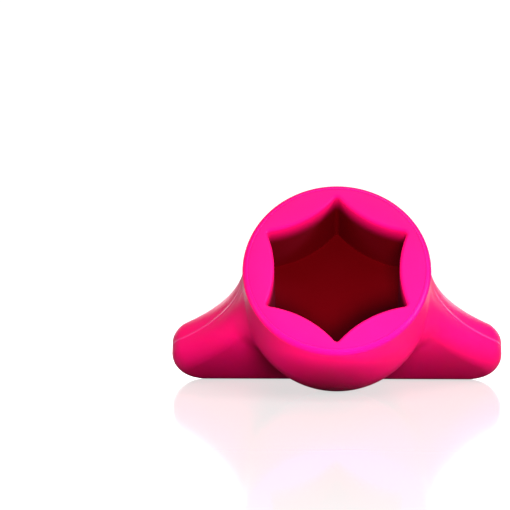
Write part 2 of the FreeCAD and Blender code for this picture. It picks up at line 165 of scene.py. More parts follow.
class KeyFinish(bpy.types.PropertyGroup):
    """Colours and surface of the key."""

    pink: colour("Pink", (0.93, 0.0015, 0.120), "Moulded pink of the skin and the cup")
    magenta: colour("Magenta", (1.0, 0.005, 0.23), "Cooler pink that pales the surface")
    highlight: colour("Highlight", (1.0, 0.22, 0.75), "Tint of the highlights")
    # Painted shade: the next three settings darken the cup's pink down inside the socket, standing
    # in for the shade in the recess.
    painted_shade_pink: colour("Painted shade pink", (0.078, 0.0002, 0.0011), "Down inside the socket")
    painted_shade_start: length("Painted shade start", -0.003, "Depth where the pink starts to deepen")
    painted_shade_full: length("Painted shade full", 0.0085, "Depth where the pink is at its deepest")
    # Painted highlight: the next two settings pale the skin along the parting ridge.
    parting_highlight_pink: colour("Parting highlight pink", (1.0, 0.10, 0.42), "Along the mould's parting line")
    parting_highlight_paleness: share("Parting highlight paleness", 0.32, "How far the parting line pales")
    parting_width: length("Parting width", 0.0011, "Width of the parting line")
    parting_start: length("Parting start", 0.005, "Where the line starts, above the rim")
    parting_height: length("Parting height", 0.00010, "How far the parting line stands up")
    metal: colour("Metal", (0.78, 0.79, 0.80), "The hidden plate")
    skin_roughness: share("Skin roughness", 0.36, "How satin the skin is")
    cup_roughness: share("Cup roughness", 0.38, "How satin the cup is")
    skin_softness: share("Skin softness", 0.12, "How much light sinks into the silicone")
    gloss: share("Gloss", 0.38, "Strength of the highlights")
    mottle: share("Mottle", 0.35, "How much of the magenta shows in the pink")
    skin_grain: length("Skin grain", 0.00035, "Size of the skin's moulding grain")
    cup_grain: length("Cup grain", 0.00045, "Size of the cup's moulding grain")
    grain_height: length("Grain height", 0.00003, "Height of the moulding grain")
    grain_strength: share("Grain strength", 0.35, "How much the grain shows")


class StudioSettings(bpy.types.PropertyGroup):
    """Floor, light and camera."""

    floor_colour: colour("Floor", (0.30, 0.30, 0.30), "Pale floor, apart from its glow")
    floor_bounce: colour("Floor bounce", (0.14, 0.14, 0.14), "What the floor throws back")
    floor_glow: share("Floor glow", 0.66, "Evens out the floor near the key")
    wall_glow: share("Wall glow", 1.0, "Evens out the far floor and the wall")
    wall_light: share("Wall light", 0.15, "What the far floor and wall light the key with")
    floor_roughness: share("Floor roughness", 0.09, "How softly the floor mirrors the key")
    glow_near: length("Glow near", 0.12, "Distance where the floor's glow starts to rise")
    glow_far: length("Glow far", 0.6, "Distance where the glow is full")
    low_fill_power: FloatProperty(
        name="Low fill power", description="Watts of the fill from low in front",
        default=0.12, min=0.0,
    )
    flag_height: length("Flag height", 0.0111, "Card that shades the key's foot from the fill")
    camera_distance: length("Camera distance", 0.85, "Camera to the middle of the key")
    camera_elevation: FloatProperty(
        name="Camera elevation", description="Camera above the horizon",
        default=math.radians(4.7), subtype="ANGLE",
    )
    aim_left: FloatProperty(
        name="Aim left", description="How far left of the key the camera points",
        default=math.radians(1.63), subtype="ANGLE",
    )
    aim_up: FloatProperty(
        name="Aim up", description="How far above the key's middle the camera points",
        default=math.radians(0.985), subtype="ANGLE",
    )
    lens: FloatProperty(
        name="Lens", description="Focal length in millimetres", default=203.4, min=1.0
    )


# ---- materials --------------------------------------------------------------------


def add_node(tree, kind, place, **values):
    node = tree.nodes.new(kind)
    node.location = place
    for name, value in values.items():
        setattr(node, name, value)
    return node


def moulded_surface_group():
    """A node group: fine moulding grain, faint flow mottling and their bump."""
    name = "Moulded surface"
    if name in bpy.data.node_groups:
        return bpy.data.node_groups[name]
    group = bpy.data.node_groups.new(name, "ShaderNodeTree")
    face = group.interface
    inputs = (
        ("Base", "NodeSocketColor", None),
        ("Pale", "NodeSocketColor", None),
        ("Roughness", "NodeSocketFloat", 0.4),
        ("Grain size", "NodeSocketFloat", 0.0003),
        ("Mottle size", "NodeSocketFloat", 0.012),
        ("Mottle", "NodeSocketFloat", 0.2),
    )
    for label, kind, default in inputs:
        made = face.new_socket(label, in_out="INPUT", socket_type=kind)
        if default is not None:
            made.default_value = default
    for label, kind in (
        ("Colour", "NodeSocketColor"),
        ("Roughness", "NodeSocketFloat"),
        ("Height", "NodeSocketFloat"),
    ):
        face.new_socket(label, in_out="OUTPUT", socket_type=kind)

    entry = add_node(group, "NodeGroupInput", (-900, 0))
    leave = add_node(group, "NodeGroupOutput", (700, 0))
    where = add_node(group, "ShaderNodeTexCoord", (-900, -300))

    def noise_at(size_socket, place, detail):
        scale = add_node(group, "ShaderNodeMath", (place[0] - 200, place[1]), operation="DIVIDE")
        scale.inputs[0].default_value = 1.0
        group.links.new(entry.outputs[size_socket], scale.inputs[1])
        noise = add_node(group, "ShaderNodeTexNoise", place)
        noise.inputs["Detail"].default_value = detail
        group.links.new(where.outputs["Object"], noise.inputs["Vector"])
        group.links.new(scale.outputs[0], noise.inputs["Scale"])
        return noise.outputs["Fac"]

    grain = noise_at("Grain size", (-400, -300), 2.0)
    mottle = noise_at("Mottle size", (-400, 0), 3.0)

    amount = add_node(group, "ShaderNodeMath", (-100, 100), operation="MULTIPLY")
    group.links.new(mottle, amount.inputs[0])
    group.links.new(entry.outputs["Mottle"], amount.inputs[1])
    blend = add_node(group, "ShaderNodeMix", (150, 150), data_type="RGBA")
    group.links.new(amount.outputs[0], blend.inputs["Factor"])
    group.links.new(entry.outputs["Base"], blend.inputs["A"])
    group.links.new(entry.outputs["Pale"], blend.inputs["B"])

    spread = add_node(group, "ShaderNodeMapRange", (-100, -80))
    spread.inputs["To Min"].default_value = -0.05
    spread.inputs["To Max"].default_value = 0.05
    group.links.new(mottle, spread.inputs["Value"])
    rough = add_node(group, "ShaderNodeMath", (150, -80), operation="ADD", use_clamp=True)
    group.links.new(entry.outputs["Roughness"], rough.inputs[0])
    group.links.new(spread.outputs[0], rough.inputs[1])

    group.links.new(blend.outputs["Result"], leave.inputs["Colour"])
    group.links.new(rough.outputs[0], leave.inputs["Roughness"])
    group.links.new(grain, leave.inputs["Height"])
    return group


def socket_depth_group():
    """A node group: nought at the socket's mouth, one well down inside it."""
    name = "Socket depth"
    if name in bpy.data.node_groups:
        return bpy.data.node_groups[name]
    group = bpy.data.node_groups.new(name, "ShaderNodeTree")
    for label, default in (("Start", 0.0), ("Full", 0.01)):
        made = group.interface.new_socket(label, in_out="INPUT", socket_type="NodeSocketFloat")
        made.default_value = default
    group.interface.new_socket("Mask", in_out="OUTPUT", socket_type="NodeSocketFloat")
    entry = add_node(group, "NodeGroupInput", (-600, -200))
    leave = add_node(group, "NodeGroupOutput", (400, 0))
    where = add_node(group, "ShaderNodeTexCoord", (-600, 0))
    from_mouth = add_node(group, "ShaderNodeVectorMath", (-400, 0), operation="SUBTRACT")
    from_mouth.inputs[1].default_value = MOUTH_CENTRE
    depth = add_node(group, "ShaderNodeVectorMath", (-200, 0), operation="DOT_PRODUCT")
    depth.inputs[1].default_value = -MOUTH_NORMAL
    mask = add_node(group, "ShaderNodeMapRange", (100, 0), interpolation_type="SMOOTHSTEP")
    group.links.new(where.outputs["Object"], from_mouth.inputs[0])
    group.links.new(from_mouth.outputs["Vector"], depth.inputs[0])
    group.links.new(depth.outputs["Value"], mask.inputs["Value"])
    group.links.new(entry.outputs["Start"], mask.inputs["From Min"])
    group.links.new(entry.outputs["Full"], mask.inputs["From Max"])
    group.links.new(mask.outputs[0], leave.inputs["Mask"])
    return group


def parting_line_group():
    """A node group: one along the mould's parting line, which halves the thickness."""
    name = "Parting line"
    if name in bpy.data.node_groups:
        return bpy.data.node_groups[name]
    group = bpy.data.node_groups.new(name, "ShaderNodeTree")
    made = group.interface.new_socket("Half width", in_out="INPUT", socket_type="NodeSocketFloat")
    made.default_value = 0.0003
    group.interface.new_socket("Mask", in_out="OUTPUT", socket_type="NodeSocketFloat")
    entry = add_node(group, "NodeGroupInput", (-600, -200))
    leave = add_node(group, "NodeGroupOutput", (500, 0))
    where = add_node(group, "ShaderNodeTexCoord", (-600, 0))
    from_mouth = add_node(group, "ShaderNodeVectorMath", (-400, 0), operation="SUBTRACT")
    from_mouth.inputs[1].default_value = MOUTH_CENTRE
    through = add_node(group, "ShaderNodeVectorMath", (-200, 0), operation="DOT_PRODUCT")
    through.inputs[1].default_value = lying_matrix().col[1].xyz
    aside = add_node(group, "ShaderNodeMath", (0, 0), operation="ABSOLUTE")
    mask = add_node(group, "ShaderNodeMapRange", (250, 0), interpolation_type="SMOOTHSTEP")
    mask.inputs["To Min"].default_value = 1.0
    mask.inputs["To Max"].default_value = 0.0
    group.links.new(where.outputs["Object"], from_mouth.inputs[0])
    group.links.new(from_mouth.outputs["Vector"], through.inputs[0])
    group.links.new(through.outputs["Value"], aside.inputs[0])
    group.links.new(aside.outputs[0], mask.inputs["Value"])
    group.links.new(entry.outputs["Half width"], mask.inputs["From Max"])
    group.links.new(mask.outputs[0], leave.inputs["Mask"])
    return group


def add_parting_line_and_highlight(material):
    """A fine raised line where the mould's halves met; its colour is paled from the skin's as a
    painted highlight along the ridge.
    """
    finish = bpy.context.scene.key_finish
    tree = material.node_tree
    shader = tree.nodes["Principled BSDF"]
    surface = shader.inputs["Base Color"].links[0].from_socket
    line = add_node(tree, "ShaderNodeGroup", (-700, 450))
    line.node_tree = parting_line_group()
    line.inputs["Half width"].default_value = finish.parting_width / 2
    # Painted highlight: the skin's colour is paled towards the highlight pink along the parting
    # line.
    amount = add_node(tree, "ShaderNodeMath", (-450, 450), operation="MULTIPLY")
    amount.inputs[1].default_value = finish.parting_highlight_paleness
    blend = add_node(tree, "ShaderNodeMix", (-200, 350), data_type="RGBA")
    blend.inputs["B"].default_value = (*finish.parting_highlight_pink, 1)
    clear = add_node(tree, "ShaderNodeGroup", (-900, 650))
    clear.node_tree = socket_depth_group()
    clear.inputs["Start"].default_value = finish.parting_start
    clear.inputs["Full"].default_value = finish.parting_start * 3
    tapered = add_node(tree, "ShaderNodeMath", (-600, 550), operation="MULTIPLY")
    tree.links.new(line.outputs["Mask"], tapered.inputs[0])
    tree.links.new(clear.outputs["Mask"], tapered.inputs[1])
    tree.links.new(tapered.outputs[0], amount.inputs[0])
    tree.links.new(amount.outputs[0], blend.inputs["Factor"])
    tree.links.new(surface, blend.inputs["A"])
    tree.links.new(blend.outputs["Result"], shader.inputs["Base Color"])
    grain = shader.inputs["Normal"].links[0].from_socket
    ridge = add_node(tree, "ShaderNodeBump", (-100, -400))
    ridge.inputs["Distance"].default_value = finish.parting_height
    tree.links.new(tapered.outputs[0], ridge.inputs["Height"])
    tree.links.new(grain, ridge.inputs["Normal"])
    tree.links.new(ridge.outputs["Normal"], shader.inputs["Normal"])


def paint_socket_shade(material):
    """Paint shade down inside the socket: the cup's pink darkens with depth towards a near-black
    red, and its roughness rises to one there.
    """
    finish = bpy.context.scene.key_finish
    tree = material.node_tree
    shader = tree.nodes["Principled BSDF"]
    surface = shader.inputs["Base Color"].links[0].from_socket
    depth = add_node(tree, "ShaderNodeGroup", (-700, 450))
    depth.node_tree = socket_depth_group()
    depth.inputs["Start"].default_value = finish.painted_shade_start
    depth.inputs["Full"].default_value = finish.painted_shade_full
    # Painted shade: the pink is mixed towards the near-black red as the depth mask rises.
    blend = add_node(tree, "ShaderNodeMix", (-200, 350), data_type="RGBA")
    blend.inputs["B"].default_value = (*finish.painted_shade_pink, 1)
    tree.links.new(depth.outputs["Mask"], blend.inputs["Factor"])
    tree.links.new(surface, blend.inputs["A"])
    tree.links.new(blend.outputs["Result"], shader.inputs["Base Color"])
    surface = shader.inputs["Roughness"].links[0].from_socket
    dull = add_node(tree, "ShaderNodeMix", (-200, 600), data_type="FLOAT")
    dull.inputs["B"].default_value = 1.0
    tree.links.new(depth.outputs["Mask"], dull.inputs["Factor"])
    tree.links.new(surface, dull.inputs["A"])
    tree.links.new(dull.outputs["Result"], shader.inputs["Roughness"])


def pink_moulding(name, roughness, grain_size, softness):
    """Pink moulded silicone or plastic, with its own satin and grain."""
    finish = bpy.context.scene.key_finish
    material = bpy.data.materials.new(name)
    material.use_nodes = True
    tree = material.node_tree
    shader = tree.nodes["Principled BSDF"]
    surface = add_node(tree, "ShaderNodeGroup", (-500, 200))
    surface.node_tree = moulded_surface_group()
    surface.inputs["Base"].default_value = (*finish.pink, 1)
    surface.inputs["Pale"].default_value = (*finish.magenta, 1)
    surface.inputs["Roughness"].default_value = roughness
    surface.inputs["Grain size"].default_value = grain_size
    surface.inputs["Mottle"].default_value = finish.mottle
    bump = add_node(tree, "ShaderNodeBump", (-250, -200))
    bump.inputs["Strength"].default_value = finish.grain_strength
    bump.inputs["Distance"].default_value = finish.grain_height
    tree.links.new(surface.outputs["Height"], bump.inputs["Height"])
    tree.links.new(surface.outputs["Colour"], shader.inputs["Base Color"])
    tree.links.new(surface.outputs["Roughness"], shader.inputs["Roughness"])
    tree.links.new(bump.outputs["Normal"], shader.inputs["Normal"])
    shader.inputs["Specular Tint"].default_value = (*finish.highlight, 1)
    shader.inputs["Specular IOR Level"].default_value = finish.gloss
    shader.inputs["IOR"].default_value = SILICONE_IOR
    shader.inputs["Subsurface Weight"].default_value = softness
    shader.inputs["Subsurface Radius"].default_value = SKIN_GLOW_RADIUS
    shader.inputs["Subsurface Scale"].default_value = SKIN_GLOW_DEPTH
    return material


def plate_metal():
    """Bare stamped sheet, brushed one way."""
    finish = bpy.context.scene.key_finish
    material = bpy.data.materials.new("Stamped plate")
    material.use_nodes = True
    tree = material.node_tree
    shader = tree.nodes["Principled BSDF"]
    where = add_node(tree, "ShaderNodeTexCoord", (-900, 0))
    stretch = add_node(tree, "ShaderNodeMapping", (-700, 0))
    stretch.inputs["Scale"].default_value = (60, 2500, 2500)
    noise = add_node(tree, "ShaderNodeTexNoise", (-500, 0))
    noise.inputs["Scale"].default_value = 1.0
    rough = add_node(tree, "ShaderNodeMapRange", (-250, 0))
    rough.inputs["To Min"].default_value = 0.28
    rough.inputs["To Max"].default_value = 0.5
    tree.links.new(where.outputs["Object"], stretch.inputs["Vector"])
    tree.links.new(stretch.outputs["Vector"], noise.inputs["Vector"])
    tree.links.new(noise.outputs["Fac"], rough.inputs["Value"])
    tree.links.new(rough.outputs[0], shader.inputs["Roughness"])
    shader.inputs["Base Color"].default_value = (*finish.metal, 1)
    shader.inputs["Metallic"].default_value = 1.0
    return material


def studio_floor_material():
    """Pale floor with a faint sheen that lifts into an even white wall.

    What the key and its reflections get from the floor is darker than what the camera
    sees, so that the ground stays pale and the key's underside dark.
    """
    settings = bpy.context.scene.key_studio
    material = bpy.data.materials.new("Studio floor")
    material.use_nodes = True
    tree = material.node_tree
    shader = tree.nodes["Principled BSDF"]
    ray = add_node(tree, "ShaderNodeLightPath", (-1100, 200))
    seen = add_node(tree, "ShaderNodeMix", (-250, 300), data_type="RGBA")
    seen.inputs["A"].default_value = (*settings.floor_bounce, 1)
    seen.inputs["B"].default_value = (*settings.floor_colour, 1)
    tree.links.new(ray.outputs["Is Camera Ray"], seen.inputs["Factor"])
    tree.links.new(seen.outputs["Result"], shader.inputs["Base Color"])

    where = add_node(tree, "ShaderNodeTexCoord", (-1100, -300))
    out = add_node(tree, "ShaderNodeVectorMath", (-900, -300), operation="LENGTH")
    far = add_node(tree, "ShaderNodeMapRange", (-700, -300), interpolation_type="SMOOTHSTEP")
    far.inputs["From Min"].default_value = settings.glow_near
    far.inputs["From Max"].default_value = settings.glow_far
    glow_seen = add_node(tree, "ShaderNodeMapRange", (-500, -150))
    glow_seen.inputs["To Min"].default_value = settings.floor_glow
    glow_seen.inputs["To Max"].default_value = settings.wall_glow
    glow_thrown = add_node(tree, "ShaderNodeMath", (-500, -450), operation="MULTIPLY")
    glow_thrown.inputs[1].default_value = settings.wall_light
    glow = add_node(tree, "ShaderNodeMix", (-250, -250), data_type="FLOAT")
    tree.links.new(where.outputs["Object"], out.inputs[0])
    tree.links.new(out.outputs["Value"], far.inputs["Value"])
    tree.links.new(far.outputs[0], glow_seen.inputs["Value"])
    tree.links.new(far.outputs[0], glow_thrown.inputs[0])
    tree.links.new(ray.outputs["Is Camera Ray"], glow.inputs["Factor"])
    tree.links.new(glow_thrown.outputs[0], glow.inputs["A"])
    tree.links.new(glow_seen.outputs[0], glow.inputs["B"])
    tree.links.new(glow.outputs["Result"], shader.inputs["Emission Strength"])
    shader.inputs["Emission Color"].default_value = (1, 1, 1, 1)
    shader.inputs["Roughness"].default_value = settings.floor_roughness
    shader.inputs["Specular IOR Level"].default_value = 0.5
    return material


# ---- the skin's outer surface --------------------------------------------------------


def distance_to_wings(x, y, z, shape):
    """Signed distance to the bar and wings: their outline, with rounded edges."""
    end = np.array((
        shape.bar_length / 2 - shape.bar_end_round,
        shape.key_height - shape.bar_end_round,
    ))
    start_x = shape.barrel_radius - shape.wing_root_inset
    run = end[0] - start_x
    flare_radius = (run**2 + end[1] ** 2 - shape.bar_end_round**2) / (
        2 * (shape.bar_end_round + run)
    )
    flare = np.array((start_x + flare_radius, 0.0))
    aside = np.abs(x)

    from_end_x, from_end_z = aside - end[0], z - end[1]
    toward = flare - end
    beyond = (from_end_x * -toward[1] + from_end_z * toward[0] > 0) & (from_end_x > 0)
    in_end = np.hypot(from_end_x, from_end_z) - shape.bar_end_round
    in_flare = flare_radius - np.hypot(aside - flare[0], z - flare[1])
    below_top = z - shape.key_height
    outline = np.where(beyond, in_end, np.maximum(in_flare, below_top))

    round_off = shape.bar_edge_round
    across = np.abs(y) - shape.bar_thickness / 2 + round_off
    outward = outline + round_off
    corner = np.hypot(np.maximum(across, 0), np.maximum(outward, 0))
    return np.minimum(np.maximum(across, outward), 0) + corner - round_off


def distance_to_barrel(x, y, z, shape):
    """Signed distance to the straight barrel and the round dome above it."""
    above = np.maximum(z - shape.barrel_straight, 0)
    return np.sqrt(x**2 + y**2 + above**2) - shape.barrel_radius


def distance_to_key(points, shape):
    """Signed distance to the whole outer form, softly blended where dome meets wing."""
    x, y, z = points
    wings = distance_to_wings(x, y, z, shape)
    barrel = distance_to_barrel(x, y, z, shape)
    rise = np.clip((z - shape.blend_start) / (shape.blend_full - shape.blend_start), 0, 1)
    soft = shape.blend_round * rise * rise * (3 - 2 * rise) + 1e-6
    corner = np.hypot(np.maximum(soft - wings, 0), np.maximum(soft - barrel, 0))
    return np.maximum(soft, np.minimum(wings, barrel)) - corner


def net_over(inside, low, step):
    """Quads round every boundary between inside and outside grid points."""
    crossing = np.zeros(tuple(n - 1 for n in inside.shape), int)
    for offset in np.ndindex(2, 2, 2):
        window = tuple(slice(o, n - 1 + o) for o, n in zip(offset, inside.shape))
        crossing += inside[window]
    cells = (crossing > 0) & (crossing < 8)
    number = np.full(cells.shape, -1)
    number[cells] = np.arange(np.count_nonzero(cells))
    points = (np.argwhere(cells) + 0.5) * step + low

    quads = []
    for axis in range(3):
        side, up = (axis + 1) % 3, (axis + 2) % 3
        here = [slice(1, -1)] * 3
        here[axis] = slice(0, -1)
        ahead = list(here)
        ahead[axis] = slice(1, None)
        first, second = inside[tuple(here)], inside[tuple(ahead)]
        for change, order in ((first & ~second, 1), (second & ~first, -1)):
            base = np.argwhere(change)
            base[:, side] += 1
            base[:, up] += 1
            ring = []
            for back_side, back_up in ((1, 1), (0, 1), (0, 0), (1, 0)):
                cell = base.copy()
                cell[:, side] -= back_side
                cell[:, up] -= back_up
                ring.append(number[tuple(cell.T)])
            quads.append(np.stack(ring[::order], axis=1))
    return points, np.concatenate(quads)


def pull_onto_surface(points, shape, fixed):
    """Move points along the slope until they lie on the key's surface."""
    nudge = 1e-5
    for _ in range(3):
        here = distance_to_key(points.T, shape)
        slope = np.empty_like(points)
        for axis in range(3):
            ahead, behind = points.T.copy(), points.T.copy()
            ahead[axis] += nudge
            behind[axis] -= nudge
            rise = distance_to_key(ahead, shape) - distance_to_key(behind, shape)
            slope[:, axis] = rise / (2 * nudge)
        slope[fixed, 2] = 0
        steepness = np.maximum((slope**2).sum(axis=1), GENTLEST_SLOPE)
        points -= slope * (here / steepness)[:, None]
    return points


def even_out(points, quads, shape, rim):
    """Relax the net along the surface so that its quads come out even."""
    edges = np.concatenate([quads[:, (n, (n + 1) % 4)] for n in range(4)])
    edges = np.unique(np.sort(edges, axis=1), axis=0)
    on_rim = np.zeros(len(points), bool)
    on_rim[rim] = True
    along_rim = on_rim[edges].all(axis=1)
    usable = along_rim | ~on_rim[edges].any(axis=1)
    for _ in range(EVENING_PASSES):
        total = np.zeros_like(points)
        count = np.zeros(len(points))
        for a, b in ((0, 1), (1, 0)):
            ends = edges[:, a]
            take = usable | ~on_rim[ends]
            np.add.at(total, ends[take], points[edges[take, b]])
            np.add.at(count, ends[take], 1)
        points = points + EVENING_SHARE * (total / np.maximum(count, 1)[:, None] - points)
        points = pull_onto_surface(points, shape, rim)
    return points


def open_rim(quads):
    """The points on the net's open edge."""
    edges = np.concatenate([quads[:, (n, (n + 1) % 4)] for n in range(4)])
    pairs, times = np.unique(np.sort(edges, axis=1), axis=0, return_counts=True)
    return np.unique(pairs[times == 1])


def arc_points(centre, radius, first_angle, last_angle, steps):
    """Points of an arc in a half section, as (out, up), leaving out its first."""
    angles = np.linspace(first_angle, last_angle, steps + 1)[1:]
    return [
        (centre[0] + radius * math.cos(a), centre[1] + radius * math.sin(a)) for a in angles
    ]


def skin_section(shape):
    """The half section from the barrel's side round the rim and up inside the cup's room."""
    socket = bpy.context.scene.socket_shape
    outer, rim, seam = shape.barrel_radius, shape.rim_round, shape.seam_round
    back = socket.depth + socket.floor_thickness
    lip = (outer - rim, rim)
    section = [(outer, lip[1] + shape.mesh_step), (outer, lip[1])]
    section += arc_points(lip, rim, 0, -math.pi / 2, 12)
    seam_centre = (CUP_RADIUS + seam, seam)
    section += arc_points(seam_centre, seam, -math.pi / 2, -math.pi, 4)
    section += [(CUP_RADIUS, z) for z in np.linspace(seam, shape.barrel_straight, 20)[1:]]
    dome_end = math.asin((back - shape.barrel_straight) / CUP_RADIUS)
    section += arc_points((0, shape.barrel_straight), CUP_RADIUS, 0, dome_end, 12)
    back_radius = section[-1][0]
    section += [(back_radius * share_in, back) for share_in in (0.75, 0.5, 0.25)]
    return section, back


def mesh_from(points, faces, name, material):
    mesh = bpy.data.meshes.new(name)
    mesh.from_pydata([tuple(p) for p in points], [], [tuple(f) for f in faces])
    mesh.transform(lying_matrix())
    mesh.materials.append(material)
    mesh.polygons.foreach_set("use_smooth", [True] * len(mesh.polygons))
    mesh.update()
    piece = bpy.data.objects.new(name, mesh)
    bpy.context.scene.collection.objects.link(piece)
    return piece


def face_outwards(piece):
    """Turn every face of a closed piece outwards, and refuse one that isn't closed."""
    work = bmesh.new()
    work.from_mesh(piece.data)
    bmesh.ops.recalc_face_normals(work, faces=work.faces)
    open_edges = sum(1 for edge in work.edges if not edge.is_manifold)
    if open_edges:
        raise RuntimeError("%s has %d open edges" % (piece.name, open_edges))
    work.to_mesh(piece.data)
    work.free()


def settle(piece, node):
    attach(piece, BODY)
    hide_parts(node)


def outer_net(shape):
    """The skin's outside down to its open rim: points, quads and the rim in order."""
    step = shape.mesh_step
    start = shape.rim_round + 2 * step
    reach = np.array((shape.bar_length / 2, shape.barrel_radius)) + 3 * step
    low = np.array((-reach[0], -reach[1], start - step / 2))
    high = np.array((reach[0], reach[1], shape.key_height + 3 * step))
    counts = np.ceil((high - low) / step).astype(int)
    axes = [low[n] + step * np.arange(counts[n]) for n in range(3)]
    grid = np.meshgrid(*axes, indexing="ij")
    inside = distance_to_key(grid, shape) < 0
    points, quads = net_over(inside, low, step)

    used = np.unique(quads)
    renumber = np.full(len(points), -1)
    renumber[used] = np.arange(len(used))
    points, quads = points[used], renumber[quads]
    rim = open_rim(quads)
    points[rim, 2] = start
    points = even_out(points, quads, shape, rim)
    points[rim, 2] = start
    angles = np.arctan2(points[rim, 1], points[rim, 0])
    return points, quads, rim[np.argsort(angles)]


def close_skin(points, quads, rim, shape):
    """Carry the net on round the rim, up inside the cup's room and over the cup's back."""
    angles = np.arctan2(points[rim, 1], points[rim, 0])
    section, back = skin_section(shape)
    rings, all_points = [rim], [points]
    total = len(points)
    for out, up in section:
        ring = np.stack(
            (out * np.cos(angles), out * np.sin(angles), np.full(len(rim), up)), axis=1
        )
        all_points.append(ring)
        rings.append(np.arange(total, total + len(rim)))
        total += len(rim)
    faces = [tuple(quad) for quad in quads]
    for upper, lower in zip(rings, rings[1:]):
        for n in range(len(rim)):
            after = (n + 1) % len(rim)
            faces.append((upper[n], lower[n], lower[after], upper[after]))
    all_points.append(np.array([(0.0, 0.0, back)]))
    last = rings[-1]
    faces += [(last[n], total, last[(n + 1) % len(rim)]) for n in range(len(rim))]
    return np.concatenate(all_points), faces


class KEY_OT_grip_skin(bpy.types.Operator):
    """Model the soft outer skin: bar, wings, dome and barrel side in one"""

    bl_idname = "turning_key.grip_skin"
    bl_label = "Grip skin"

    def execute(self, context):
        shape = context.scene.key_shape
        finish = context.scene.key_finish
        points, faces = close_skin(*outer_net(shape), shape)
        material = pink_moulding(
            "Pink silicone", finish.skin_roughness, finish.skin_grain, finish.skin_softness
        )
        # The parting ridge is real; its paler colour is a painted highlight.
        add_parting_line_and_highlight(material)
        skin = mesh_from(points, faces, "grip_skin", material)
        face_outwards(skin)
        settle(skin, "grip_cover")
        return {"FINISHED"}


# ---- the socket cup -----------------------------------------------------------------


def star_outline(socket):
    """The socket's outline, one point a step, with the outward normal at each."""
    reach, rise = socket.point_reach, socket.lobe_bulge
    half = POINT_ANGLE - math.asin(socket.point_width / 2 / reach)
    lobe = ((reach * math.sin(half)) ** 2 + rise**2) / (2 * rise)
    centre = reach * math.cos(half) - rise + lobe
    steps = socket.steps_per_side * SOCKET_SIDES
    angles = np.arange(steps) * WHOLE_TURN / steps
    offset = (angles + POINT_ANGLE) % (2 * POINT_ANGLE) - POINT_ANGLE
    to_lobe = centre * np.cos(offset) - np.sqrt(lobe**2 - (centre * np.sin(offset)) ** 2)
    soft = socket.point_round
    near = np.clip(0.5 + 0.5 * (reach - to_lobe) / soft, 0, 1)
    radius = reach * (1 - near) + to_lobe * near - soft * near * (1 - near)
    outline = np.stack((radius * np.cos(angles), radius * np.sin(angles)), axis=1)
    along = np.roll(outline, -1, axis=0) - np.roll(outline, 1, axis=0)
    normal = np.stack((along[:, 1], -along[:, 0]), axis=1)
    normal /= np.linalg.norm(normal, axis=1)[:, None]
    return outline, normal, angles


def cup_rings(socket, shape):
    """Rings of the cup from its floor's middle, up the star, over the mouth and round the back."""
    outline, normal, angles = star_outline(socket)
    round_ = np.stack((np.cos(angles), np.sin(angles)), axis=1)
    depth, mouth, foot = socket.depth, socket.mouth_round, socket.floor_round
    seam = shape.seam_round
    back = depth + socket.floor_thickness
    rings = [(outline * inner, depth) for inner in (0.15, 0.4, 0.65, 0.85)]
    for turn in np.linspace(0, math.pi / 2, 5):
        rings.append((outline - normal * foot * (1 - math.sin(turn)),
                      depth - foot * (1 - math.cos(turn))))
    for up in np.linspace(depth - foot, mouth, 14)[1:]:
        rings.append((outline, up))
    for turn in np.linspace(0, math.pi / 2, 11)[1:]:
        rings.append((outline + normal * mouth * (1 - math.cos(turn)),
                      mouth * (1 - math.sin(turn))))
    edge = rings[-1][0]
    flat_edge = round_ * (CUP_RADIUS - seam)
    for inner in (0.5, 1.0):
        rings.append((edge * (1 - inner) + flat_edge * inner, 0.0))
    for out, up in arc_points((CUP_RADIUS - seam, seam), seam, -math.pi / 2, 0, 4):
        rings.append((round_ * out, up))
    for up in np.linspace(seam, shape.barrel_straight, 12)[1:]:
        rings.append((round_ * CUP_RADIUS, up))
    dome_end = math.asin((back - shape.barrel_straight) / CUP_RADIUS)
    for out, up in arc_points((0, shape.barrel_straight), CUP_RADIUS, 0, dome_end, 10):
        rings.append((round_ * out, up))
    back_radius = CUP_RADIUS * math.cos(dome_end)
    rings += [(round_ * back_radius * inner, back) for inner in (0.7, 0.35)]
    return rings, depth, back


def add_cheeks(work, socket, matrix):
    """Two cheeks on the cup's back and the pegs that join them through the plate."""
    back = socket.depth + socket.floor_thickness
    cheek = (socket.cheeks_width - socket.slot_width) / 2
    off = socket.slot_width / 2 + cheek / 2
    size = (socket.cheek_length, cheek, socket.cheek_height)
    for side in (-1, 1):
        place = Matrix.Translation((0, side * off, back + socket.cheek_height / 2))
        made = bmesh.ops.create_cube(work, size=1)
        bmesh.ops.transform(
            work, matrix=matrix @ place @ Matrix.Diagonal((*size, 1)), verts=made["verts"]
        )
    for side in (-1, 1):
        place = Matrix.Translation(
            (side * socket.peg_spacing / 2, 0, back + socket.cheek_height / 2)
        )
        made = bmesh.ops.create_cone(
            work, cap_ends=True, segments=32, radius1=socket.peg_diameter / 2,
            radius2=socket.peg_diameter / 2, depth=socket.slot_width,
        )
        upright = Matrix.Rotation(math.pi / 2, 4, "X")
        bmesh.ops.transform(work, matrix=matrix @ place @ upright, verts=made["verts"])


